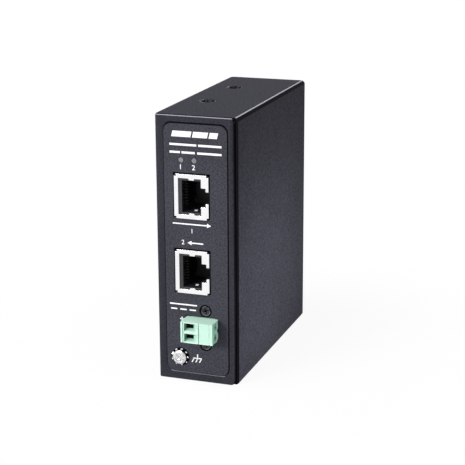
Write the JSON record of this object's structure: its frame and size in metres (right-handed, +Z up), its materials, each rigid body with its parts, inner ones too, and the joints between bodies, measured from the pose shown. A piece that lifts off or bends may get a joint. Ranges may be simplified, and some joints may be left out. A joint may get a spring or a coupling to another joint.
{
  "type": "poe injector",
  "caption": "Slim metal power-over-Ethernet injector for a DIN rail: shielded data ports, status lights, pluggable screw terminal and ground screw on the front, sprung rail clip on the back.",
  "frame": {"origin": "middle of the base of the whole object's box, on the case's lower face", "axes": "+X to the case's right side as seen from the front, +Y from the front panel to the rail, +Z up"},
  "size_m": [0.03, 0.093, 0.096],
  "materials": {
    "case_paint": "fine powder coat, near black",
    "label_film": "dark grey printed film",
    "plated_shield": "bright tin plate",
    "black_plastic": "moulded black plastic",
    "gold_contact": "gold plate",
    "light_pipe": "milky clear moulding",
    "lamp": "white lamp package",
    "green_plastic": "pale green moulded plastic",
    "tinned_metal": "tin plate",
    "black_screw": "black oxide",
    "zinc_steel": "bright zinc plate",
    "brass_part": "turned brass",
    "board": "green solder mask",
    "film": "amber insulating film",
    "chip_plastic": "moulded chip package",
    "ferrite": "pressed ferrite",
    "winding_tape": "yellow polyester tape",
    "can_sleeve": "shrink sleeve on an aluminium can",
    "spreader": "milled",
    "soft_pad": "soft thermal pad",
    "clip_plastic": "glass-filled black plastic",
    "spring_wire": "drawn spring wire"
  },
  "bodies": {
    "case": {"chassis": "case_paint", "cover": "case_paint", "front_label": "label_film", "cover_screws": "black_screw", "cover_nuts": "zinc_steel", "upper_jack_shield": "plated_shield", "upper_jack_body": "black_plastic", "upper_jack_contacts": "gold_contact", "lower_jack_shield": "plated_shield", "lower_jack_body": "black_plastic", "lower_jack_contacts": "gold_contact", "light_pipe": "light_pipe", "status_leds": "lamp", "terminal_header": "black_plastic", "header_pins": "tinned_metal", "header_screws": "black_screw", "header_nuts": "brass_part", "ground_nut": "zinc_steel", "circuit_board": "board", "standoffs": "brass_part", "board_screws": "zinc_steel", "insulating_sheet": "film", "ethernet_magnetics": "chip_plastic", "transformer_core": "ferrite", "transformer_windings": "winding_tape", "power_inductor": "ferrite", "capacitors": "can_sleeve", "control_chips": "chip_plastic", "power_transistors": "chip_plastic", "heat_spreader": "spreader", "thermal_pad": "soft_pad", "input_fuse": "lamp", "surge_suppressor": "chip_plastic", "common_mode_choke": "ferrite", "din_bracket": "clip_plastic", "latch_spring": "spring_wire", "bracket_screws": "zinc_steel", "bracket_nuts": "zinc_steel"},
    "plug": {"plug_housing": "green_plastic", "plug_contacts": "tinned_metal"},
    "upper_clamp_screw": {"clamp_screw_upper": "zinc_steel"},
    "lower_clamp_screw": {"clamp_screw_lower": "zinc_steel"},
    "upper_clamp_cage": {"clamp_cage_upper": "zinc_steel"},
    "lower_clamp_cage": {"clamp_cage_lower": "zinc_steel"},
    "ground_washer": {"ground_washer": "zinc_steel"},
    "ground_screw": {"ground_screw": "zinc_steel"},
    "rail_latch": {"din_latch": "clip_plastic"}
  },
  "joints": [
    {"name": "plug_pull", "type": "slide", "parent": "case", "child": "plug", "axis": [0, -1, 0], "range_m": [0, 0.01]},
    {"name": "upper_clamp_lift", "type": "slide", "parent": "plug", "child": "upper_clamp_cage", "axis": [1, 0, 0], "range_m": [0, 0.0016]},
    {"name": "upper_clamp_turn", "type": "hinge", "parent": "plug", "child": "upper_clamp_screw", "pos_m": [0.0065, -0.0427, 0.0223], "axis": [-1, 0, 0], "range_deg": [0, 1441]},
    {"name": "lower_clamp_lift", "type": "slide", "parent": "plug", "child": "lower_clamp_cage", "axis": [1, 0, 0], "range_m": [0, 0.0016]},
    {"name": "lower_clamp_turn", "type": "hinge", "parent": "plug", "child": "lower_clamp_screw", "pos_m": [0.0065, -0.0427, 0.0185], "axis": [-1, 0, 0], "range_deg": [0, 1441]},
    {"name": "ground_lift", "type": "slide", "parent": "case", "child": "ground_washer", "axis": [0, -1, 0], "range_m": [0, 0.0025]},
    {"name": "ground_turn", "type": "hinge", "parent": "ground_washer", "child": "ground_screw", "pos_m": [-0.0066, -0.0412, 0.0088], "axis": [0, -1, 0], "range_deg": [0, 1801]},
    {"name": "latch_pull", "type": "slide", "parent": "case", "child": "rail_latch", "axis": [0, 0, -1], "range_m": [0, 0.004], "stiffness_N_per_m": 900, "springref_m": -0.004, "deforming": ["latch_spring"]}
  ],
  "couplings": [
    {"joint": "upper_clamp_turn", "follows": "upper_clamp_lift", "rad_per_m": 15708},
    {"joint": "lower_clamp_turn", "follows": "lower_clamp_lift", "rad_per_m": 15708},
    {"joint": "ground_turn", "follows": "ground_lift", "rad_per_m": 12566}
  ]
}
